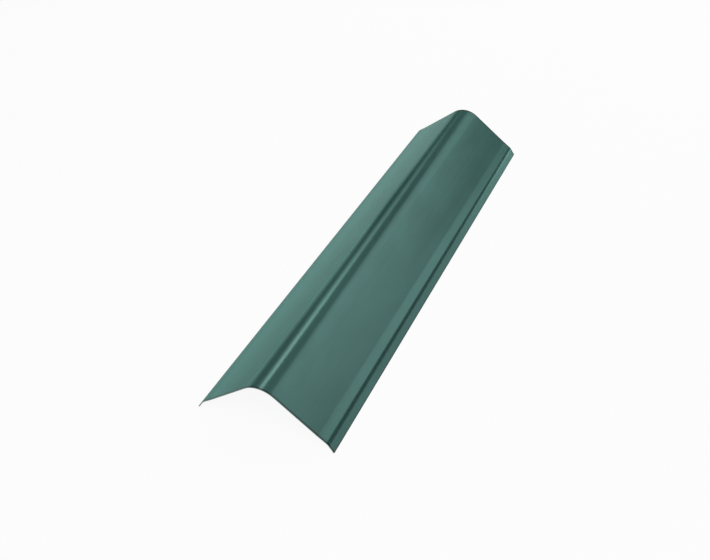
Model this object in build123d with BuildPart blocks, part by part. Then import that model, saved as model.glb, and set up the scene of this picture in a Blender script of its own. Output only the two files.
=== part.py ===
from build123d import *
from math import cos, radians, sin
import os

# Verge flashing: one strip of rigid roofing sheet, bent along its whole length.
# Its crest covers the edge of the roof and its two wings lie on the roof and the barge board.
# X runs across the strip, Y along it and Z up, and it stands on the free edges of its lips.
# The origin is on the floor below the crest, halfway along.

# Driving dimensions, in millimetres and degrees, measured on the outer face
length = 1000
thickness = 2
crest_angle = 104
crest_radius = 45
wing_width = 150
band_width = 21
band_lift = 2.5
band_radius = 80
lip_width = 19
lip_slope = 57
lip_radius = 22

# Slopes below the horizontal: a wing ends in a band that lies a little flatter, then its lip
wing_slope = (180 - crest_angle) / 2
band_slope = wing_slope - band_lift


def step_down(corner, width, slope):
    """The next corner of the section, one strip's width down its slope to the right."""
    x, z = corner
    return (x + width * cos(radians(slope)), z - width * sin(radians(slope)))


# Corners of the outer face before they are rounded, measured from the crest
crest = (0, 0)
band_corner = step_down(crest, wing_width - band_width, wing_slope)
lip_corner = step_down(band_corner, band_width, band_slope)
free_edge = step_down(lip_corner, lip_width, lip_slope)
right_half = [band_corner, lip_corner, free_edge]
left_half = [(-x, z) for x, z in reversed(right_half)]

# The section's plane puts the crest so high that the free edges stand on the floor
crest_height = thickness * cos(radians(lip_slope)) - free_edge[1]
section = Plane(origin=(0, 0, crest_height), x_dir=(1, 0, 0), z_dir=(0, -1, 0))

os.makedirs("parts", exist_ok=True)

# The sheet: its outer face, thickened inwards, runs the whole length
with BuildPart() as verge_flashing:
    with BuildSketch(section):
        with BuildLine():
            FilletPolyline(
                *left_half,
                crest,
                *right_half,
                radius=(lip_radius, band_radius, crest_radius, band_radius, lip_radius),
            )
            offset(amount=thickness, side=Side.RIGHT)
        make_face()
    extrude(amount=length / 2, both=True)

verge_flashing.part.label = "verge_flashing"
export_step(verge_flashing.part, "parts/verge_flashing.step")
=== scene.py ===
from math import radians

import bpy
from mathutils import Euler, Matrix, Vector


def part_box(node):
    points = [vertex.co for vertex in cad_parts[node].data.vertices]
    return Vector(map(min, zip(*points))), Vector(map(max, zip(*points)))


# Verge flashing: the strip is the CAD solid itself, and this script gives it its finish,
# its camera, its floor and its light. All sizes are in metres, in the row frame.

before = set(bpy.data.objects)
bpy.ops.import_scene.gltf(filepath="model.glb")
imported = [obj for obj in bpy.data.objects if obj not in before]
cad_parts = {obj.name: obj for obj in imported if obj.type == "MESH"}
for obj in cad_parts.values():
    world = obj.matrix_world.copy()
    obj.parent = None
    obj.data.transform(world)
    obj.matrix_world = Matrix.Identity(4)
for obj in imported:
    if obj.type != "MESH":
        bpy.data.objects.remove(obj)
bpy.context.view_layer.update()
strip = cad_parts["verge_flashing"]
strip_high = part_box("verge_flashing")[1]

# Camera: the photograph's angle, worked out for its frame of 710 by 560 pixels
CAMERA_PLACE = (0.5543, -1.2569, 1.0564)
CAMERA_ELEVATION = 38.97
CAMERA_HEADING = 26.38
CAMERA_ROLL = -2.46
FOCAL_PIXELS = 836.7
FRAME_WIDTH = 710
SENSOR_WIDTH = 36

# Sheet, with linear colours
SHEET_COLOUR = (0.0475, 0.125, 0.112)
SHEET_TINT = (0.64, 0.98, 0.91, 1)
SHEET_METALLIC = 0.45
SHEET_SPECULAR = 0.0
SHEET_ROUGHNESS = 0.22
ROUGHNESS_SPREAD = 0.03
COAT_WEIGHT = 0.1
COAT_INDEX = 2.4
COAT_ROUGHNESS = 0.2
CUT_COLOUR = (0.2, 0.27, 0.255)
CUT_ROUGHER = 0.35

# Shades of the sheet's colour and of the cut's, and the shares of those that cover only part
MOTTLED = (0.9, 1.1)
LIGHT_LINE = 1.5
LIGHT_LINE_SHARE = 0.12
# The left wing's edge is painted this many times as light: a painted reflection
PAINTED_REFLECTION = 1.5
# The band beside each lip is painted this many times as light, over at most this share: a painted
# highlight
BAND_HIGHLIGHT = 1.35
BAND_HIGHLIGHT_SHARE = 0.45
# The shade of the sheet's colour that the painted shade lines darken towards
PAINTED_SHADE_TONE = 0.1
SAWN = (0.8, 1.15)

# Noises of the finish: how far apart their features are along X, Y and Z
DRAW_LINES_SPACING = (0.004, 0.6, 0.004)
MOTTLING_SPACING = (0.06, 0.14, 0.06)
GRAIN_SPACING = (0.0008, 0.0008, 0.0008)
SAW_MARKS_SPACING = (0.0006, 0.0006, 0.006)

# Values of a noise that count as its lowest and highest, with less or more contrast
SOFT_RANGE = (0.3, 0.7)
HARD_RANGE = (0.35, 0.65)

# A face is an end face or faces down where its normal has more than this along Y or down
FACING = 0.7
FREE_EDGE_TOP = 0.0012

# Painted reflection that lightens the left wing towards its edge, by X, and heights of the band
# beside each lip, which carries a painted highlight
PAINTED_REFLECTION_EDGE = -0.1
PAINTED_REFLECTION_START = -0.048
BAND_LOW = 0.0185
BAND_HIGH = 0.0293

# Painted shade lines: the distances at which each starts to fade and is gone, and its strength
END_LINE = (0.0012, 0.0036)
END_STRENGTH = 0.85
LIP_LINE = (0.0012, 0.0034)
LIP_STRENGTH = 0.75
BEND_LINE = (0.0008, 0.0032)
BEND_HEIGHT = 0.0168
LEFT_BEND_STRENGTH = 0.7
RIGHT_BEND_STRENGTH = 0.3

# Relief: the crest's bend runs out between these distances from the crest
RUN_OUT_START = 0.0175
RUN_OUT_END = 0.039
RUN_OUT_HEIGHT = 0.00045
FINE_HEIGHT = 0.0001
FINE_STRENGTH = 0.15

# Floor: pale, and shown white to the camera and in reflections
FLOOR_SIZE = 60
FLOOR_COLOUR = (0.85, 0.85, 0.85, 1)
FLOOR_SHOWN_WHITE = 0.92

# World: levels, and where they change, by the upward part of the direction
HORIZON_LEVEL = 1.0
WALL_LEVEL = 0.05
STUDIO_LEVEL = 0.3
SOUTH_PALE_TOP = 0.12
NORTH_PALE_TOP = 0.062
WALL_FADE = 0.03
OVERHEAD = (0.3, 0.6)

# Lamps, whose places are across, ahead and up in the studio. An area lamp's power is its level
# times its area times four.
POWER_PER_LEVEL = 4
KEY_PLACE = (0.2, -2.6, 3.2)
KEY_SIZE = (3.0, 2.4)
KEY_LEVEL = 3.0
LEFT_PLACE = (-1.95, 2.95, 0.62)
LEFT_SIZE = (2.3, 1.3)
LEFT_LEVEL = 0.8
CEILING_HEIGHT = 2
STRIPE_SIDES = [(-0.7, 0.92), (-0.7, 7), (0.05, 7), (0.36, 3), (0, 1)]
STRIPE_LEVEL = 24
STRIPE_REACH = 0.9
BROAD_SIDES = [(1.25, 0.1), (1.25, 3.9), (3.9, 3.9), (4.3, 3.45), (4.5, 3.0), (4.25, 0.1)]
BROAD_LEVEL = 2.0
BROAD_SLANT = 0.35
LOW_ACROSS = 2.9
LOW_SIDES = [(-0.4, 0.01), (2.4, 0.01), (2.4, 0.6), (1.2, 0.26), (0.4, 0.19), (-0.4, 0.16)]


def node(tree, kind, inputs=None, **settings):
    """A shader node with its settings, and its inputs as values or as sockets to link."""
    made = tree.nodes.new(kind)
    for name, value in settings.items():
        setattr(made, name, value)
    for name, value in (inputs or {}).items():
        if isinstance(value, bpy.types.NodeSocket):
            tree.links.new(value, made.inputs[name])
        else:
            made.inputs[name].default_value = value
    return made


def new_tree(owner):
    owner.use_nodes = True
    owner.node_tree.nodes.clear()
    return owner.node_tree


def math(tree, operation, first, second=0.0):
    return node(tree, "ShaderNodeMath", {0: first, 1: second}, operation=operation).outputs[0]


def parts(tree, vector):
    """The X, Y and Z of a vector, as sockets."""
    return node(tree, "ShaderNodeSeparateXYZ", {"Vector": vector}).outputs


def noise(tree, place, spacing, detail=3.0):
    """A noise whose features are this many metres apart along X, Y and Z."""
    scale = tuple(1 / step for step in spacing)
    stretched = node(tree, "ShaderNodeMapping", {"Vector": place, "Scale": scale})
    return node(
        tree, "ShaderNodeTexNoise",
        {"Vector": stretched.outputs[0], "Scale": 1.0, "Detail": detail},
    ).outputs["Fac"]


def between(tree, value, low, high, out_low, out_high, interpolation="LINEAR"):
    """Runs from out_low to out_high as the value goes from low to high, and stays there."""
    return node(
        tree, "ShaderNodeMapRange",
        {"Value": value, "From Min": low, "From Max": high, "To Min": out_low, "To Max": out_high},
        interpolation_type=interpolation,
    ).outputs[0]


def shade(colour, factor):
    """The colour, this many times as light."""
    return tuple(part * factor for part in colour)


def mix_colour(tree, share, first, second):
    """The first colour, with this share of the second one."""
    made = node(tree, "ShaderNodeMix", data_type="RGBA")
    sockets = (made.inputs[0], made.inputs[6], made.inputs[7])
    for socket, value in zip(sockets, (share, first, second)):
        if isinstance(value, bpy.types.NodeSocket):
            tree.links.new(value, socket)
        else:
            socket.default_value = (*value, 1)
    return made.outputs[2]


def cut_share(tree, normal, height):
    """1 on the cut ends and on the free edges of the lips, 0 on the sheet's faces."""
    _, lengthwise, upright = parts(tree, normal)
    end_face = math(tree, "GREATER_THAN", math(tree, "ABSOLUTE", lengthwise), FACING)
    low_face = math(tree, "LESS_THAN", height, FREE_EDGE_TOP)
    facing_down = math(tree, "LESS_THAN", upright, -FACING)
    free_edge = math(tree, "MULTIPLY", low_face, facing_down)
    return math(tree, "MAXIMUM", end_face, free_edge)


def face_colour(tree, place, draw_lines, dark):
    """Green, with broad mottling and lighter draw lines; a painted reflection lightens the left
    wing towards its edge, a painted highlight lightens the band beside each lip, and painted shade
    darkens thin lines.
    """
    across, _, height = parts(tree, place)
    mottling = noise(tree, place, MOTTLING_SPACING, 2.0)
    colour = mix_colour(
        tree, between(tree, mottling, *SOFT_RANGE, 0.0, 1.0),
        shade(SHEET_COLOUR, MOTTLED[0]), shade(SHEET_COLOUR, MOTTLED[1]),
    )
    light_lines = between(tree, draw_lines, *HARD_RANGE, 0.0, LIGHT_LINE_SHARE)
    colour = mix_colour(tree, light_lines, colour, shade(SHEET_COLOUR, LIGHT_LINE))
    # Painted reflection: the left wing is painted lighter towards its outer edge
    painted_reflection = between(tree, across, PAINTED_REFLECTION_EDGE, PAINTED_REFLECTION_START, 1.0, 0.0)
    colour = mix_colour(tree, painted_reflection, colour, shade(SHEET_COLOUR, PAINTED_REFLECTION))
    # Painted highlight: the band beside each lip is painted lighter than the rest of the wing
    band = math(
        tree, "MULTIPLY",
        between(tree, height, BAND_LOW, BAND_LOW + 0.001, 0.0, BAND_HIGHLIGHT_SHARE),
        between(tree, height, BAND_HIGH - 0.006, BAND_HIGH + 0.002, 1.0, 0.0),
    )
    colour = mix_colour(tree, band, colour, shade(SHEET_COLOUR, BAND_HIGHLIGHT))
    # Painted shade: the thin lines are darkened towards a tenth of the sheet's colour
    return mix_colour(tree, dark, colour, shade(SHEET_COLOUR, PAINTED_SHADE_TONE))


def painted_shade_lines(tree, place):
    """Painted shade: thin dark lines beside the cut ends and the free edges, and along the bends
    of the lips.
    """
    across, along, height = parts(tree, place)
    to_end = math(tree, "SUBTRACT", strip_high.y, math(tree, "ABSOLUTE", along))
    end_line = between(tree, to_end, *END_LINE, END_STRENGTH, 0.0)
    lip_line = between(tree, height, *LIP_LINE, LIP_STRENGTH, 0.0)
    off_bend = math(tree, "ABSOLUTE", math(tree, "SUBTRACT", height, BEND_HEIGHT))
    strength = between(tree, across, -0.01, 0.01, LEFT_BEND_STRENGTH, RIGHT_BEND_STRENGTH)
    bend_line = between(tree, off_bend, *BEND_LINE, strength, 0.0)
    return math(tree, "MAXIMUM", math(tree, "MAXIMUM", end_line, lip_line), bend_line)


def cut_colour(tree, place):
    """The paler inside of the sheet, with the marks of the saw."""
    marks = between(tree, noise(tree, place, SAW_MARKS_SPACING, 2.0), *HARD_RANGE, 0.0, 1.0)
    return mix_colour(tree, marks, shade(CUT_COLOUR, SAWN[0]), shade(CUT_COLOUR, SAWN[1]))


def sheet_relief(tree, place, draw_lines):
    """Fine draw lines and grain, over the soft run-out of the crest's bend into the wings."""
    off_crest = math(tree, "ABSOLUTE", parts(tree, place)["X"])
    run_out = between(tree, off_crest, RUN_OUT_START, RUN_OUT_END, 0.0, 1.0, "SMOOTHSTEP")
    soft_bend = node(
        tree, "ShaderNodeBump",
        {"Strength": 1.0, "Distance": RUN_OUT_HEIGHT, "Height": run_out},
    )
    grain = math(tree, "MULTIPLY", noise(tree, place, GRAIN_SPACING, 2.0), 0.4)
    fine = math(tree, "ADD", math(tree, "MULTIPLY", draw_lines, 0.6), grain)
    return node(
        tree, "ShaderNodeBump",
        {
            "Strength": FINE_STRENGTH,
            "Distance": FINE_HEIGHT,
            "Height": fine,
            "Normal": soft_bend.outputs[0],
        },
    ).outputs[0]


def sheet_material():
    material = bpy.data.materials.new("green_sheet")
    tree = new_tree(material)
    coordinates = node(tree, "ShaderNodeTexCoord").outputs
    place = coordinates["Object"]
    draw_lines = noise(tree, place, DRAW_LINES_SPACING)
    cut = cut_share(tree, coordinates["Normal"], parts(tree, place)["Z"])
    face = face_colour(tree, place, draw_lines, painted_shade_lines(tree, place))
    smoothest, roughest = SHEET_ROUGHNESS - ROUGHNESS_SPREAD, SHEET_ROUGHNESS + ROUGHNESS_SPREAD
    roughness = between(tree, draw_lines, *SOFT_RANGE, smoothest, roughest)
    shader = node(
        tree, "ShaderNodeBsdfPrincipled",
        {
            "Base Color": mix_colour(tree, cut, face, cut_colour(tree, place)),
            "Roughness": math(tree, "ADD", roughness, math(tree, "MULTIPLY", cut, CUT_ROUGHER)),
            "Normal": sheet_relief(tree, place, draw_lines),
            "Metallic": SHEET_METALLIC,
            "Specular IOR Level": SHEET_SPECULAR,
            "Specular Tint": SHEET_TINT,
            "Coat Weight": COAT_WEIGHT,
            "Coat IOR": COAT_INDEX,
            "Coat Roughness": COAT_ROUGHNESS,
        },
    )
    node(tree, "ShaderNodeOutputMaterial", {"Surface": shader.outputs[0]})
    return material


def floor_material():
    """Pale paint, which the camera and reflections see as white."""
    material = bpy.data.materials.new("floor")
    tree = new_tree(material)
    path = node(tree, "ShaderNodeLightPath").outputs
    seen = math(tree, "MAXIMUM", path["Is Camera Ray"], path["Is Glossy Ray"])
    seen = math(tree, "MAXIMUM", seen, path["Is Transmission Ray"])
    shown = math(tree, "MULTIPLY", seen, FLOOR_SHOWN_WHITE)
    paint = node(tree, "ShaderNodeBsdfDiffuse", {"Color": FLOOR_COLOUR}).outputs[0]
    white = node(tree, "ShaderNodeEmission", {"Color": (1, 1, 1, 1), "Strength": 1.0}).outputs[0]
    mixed = node(tree, "ShaderNodeMixShader", {0: shown, 1: paint, 2: white})
    node(tree, "ShaderNodeOutputMaterial", {"Surface": mixed.outputs[0]})
    return material


def world_level(tree):
    """White at the horizon, higher up to the south, a dark wall above it and dim overhead."""
    direction = node(tree, "ShaderNodeTexCoord").outputs["Generated"]
    _, northward, height = parts(tree, direction)
    pale_top = between(tree, northward, 0.25, 0.55, SOUTH_PALE_TOP, NORTH_PALE_TOP)
    wall_foot = math(tree, "ADD", pale_top, WALL_FADE)
    horizon = between(tree, height, pale_top, wall_foot, HORIZON_LEVEL, WALL_LEVEL)
    overhead = between(tree, height, *OVERHEAD, WALL_LEVEL, STUDIO_LEVEL)
    return math(tree, "MAXIMUM", horizon, overhead)


def studio(across, ahead, height):
    """A place in the studio, whose axes are the camera's right and its level forward."""
    return Matrix.Rotation(radians(CAMERA_HEADING), 3, "Z") @ Vector((across, ahead, height))


def softbox(name, place, size, level):
    """A rectangular lamp that faces the strip, with this radiance all over."""
    data = bpy.data.lights.new(name, "AREA")
    data.shape = "RECTANGLE"
    data.size, data.size_y = size
    data.energy = level * data.size * data.size_y * POWER_PER_LEVEL
    lamp = bpy.data.objects.new(name, data)
    bpy.context.scene.collection.objects.link(lamp)
    lamp.location = place
    lamp.rotation_euler = (-lamp.location).to_track_quat("-Z", "Y").to_euler()
    lamp.visible_camera = False


def glowing_panel(name, corners, level):
    """A panel by its corners in the studio, whose level depends on the place on it."""
    material = bpy.data.materials.new(name)
    tree = new_tree(material)
    place = node(tree, "ShaderNodeTexCoord").outputs["Object"]
    across, ahead, _ = parts(tree, place)
    strength = level(tree, across, ahead)
    glow = node(tree, "ShaderNodeEmission", {"Color": (1, 1, 1, 1), "Strength": strength})
    node(tree, "ShaderNodeOutputMaterial", {"Surface": glow.outputs[0]})
    mesh = bpy.data.meshes.new(name)
    mesh.from_pydata(corners, [], [tuple(range(len(corners)))])
    panel = bpy.data.objects.new(name, mesh)
    bpy.context.scene.collection.objects.link(panel)
    panel.data.materials.append(material)
    panel.rotation_euler = (0, 0, radians(CAMERA_HEADING))
    panel.visible_camera = False


def stripe_level(tree, across, ahead):
    """Falls off with the square of the distance ahead, and fades out to the left."""
    reach = math(tree, "ADD", ahead, STRIPE_REACH)
    fall = math(tree, "DIVIDE", STRIPE_LEVEL, math(tree, "MULTIPLY", reach, reach))
    return math(tree, "MULTIPLY", fall, between(tree, across, -0.7, -0.15, 0.1, 1.0))


def broad_level(tree, across, ahead):
    """Strongest in its middle, and fades out ahead and, on a slant, to the right."""
    slant = math(tree, "SUBTRACT", across, math(tree, "MULTIPLY", ahead, BROAD_SLANT))
    shares = (
        between(tree, across, 1.25, 2.2, 0.75, 1.0),
        between(tree, slant, 2.75, 3.0, 1.0, 0.7),
        between(tree, slant, 3.0, 3.7, 1.0, 0.1),
        between(tree, ahead, 0.1, 1.6, 0.8, 1.0),
        between(tree, ahead, 1.9, 3.3, 1.0, 0.64),
    )
    level = BROAD_LEVEL
    for share in shares:
        level = math(tree, "MULTIPLY", level, share)
    return level


def low_level(tree, across, ahead):
    """Grows ahead, slowly and then fast, and is the same at each height."""
    slow = between(tree, ahead, -0.3, 1.0, 1.4, 1.6)
    fast = between(tree, ahead, 1.0, 2.0, 0.0, 2.2)
    return math(tree, "ADD", slow, fast)


# The strip's finish
strip.data.materials.clear()
strip.data.materials.append(sheet_material())

# Floor
half = FLOOR_SIZE / 2
floor_mesh = bpy.data.meshes.new("floor")
floor_mesh.from_pydata(
    [(-half, -half, 0), (half, -half, 0), (half, half, 0), (-half, half, 0)], [], [(0, 1, 2, 3)]
)
floor = bpy.data.objects.new("floor", floor_mesh)
bpy.context.scene.collection.objects.link(floor)
floor.data.materials.append(floor_material())

# World
world = bpy.data.worlds.new("studio")
bpy.context.scene.world = world
tree = new_tree(world)
background = node(
    tree, "ShaderNodeBackground", {"Color": (1, 1, 1, 1), "Strength": world_level(tree)}
)
node(tree, "ShaderNodeOutputWorld", {"Surface": background.outputs[0]})

# Lamps: a large one above the camera, and those that the sheet mirrors: a row straight ahead
# that makes the light stripe along the crest, a broad and a low one to the right, and one to
# the left
softbox("key", studio(*KEY_PLACE), KEY_SIZE, KEY_LEVEL)
glowing_panel("stripe", [(*side, CEILING_HEIGHT) for side in STRIPE_SIDES], stripe_level)
glowing_panel("broad", [(*side, CEILING_HEIGHT) for side in BROAD_SIDES], broad_level)
glowing_panel("low", [(LOW_ACROSS, *side) for side in LOW_SIDES], low_level)
softbox("left", studio(*LEFT_PLACE), LEFT_SIZE, LEFT_LEVEL)

# Camera
camera_data = bpy.data.cameras.new("camera")
camera_data.sensor_width = SENSOR_WIDTH
camera_data.lens = FOCAL_PIXELS / FRAME_WIDTH * SENSOR_WIDTH
camera = bpy.data.objects.new("camera", camera_data)
bpy.context.scene.collection.objects.link(camera)
heading = Euler((radians(90 - CAMERA_ELEVATION), 0, radians(CAMERA_HEADING))).to_matrix()
turn = heading @ Matrix.Rotation(radians(CAMERA_ROLL), 3, "Z")
camera.matrix_world = Matrix.Translation(CAMERA_PLACE) @ turn.to_4x4()
bpy.context.scene.camera = camera
bpy.context.scene.view_settings.view_transform = "Standard"
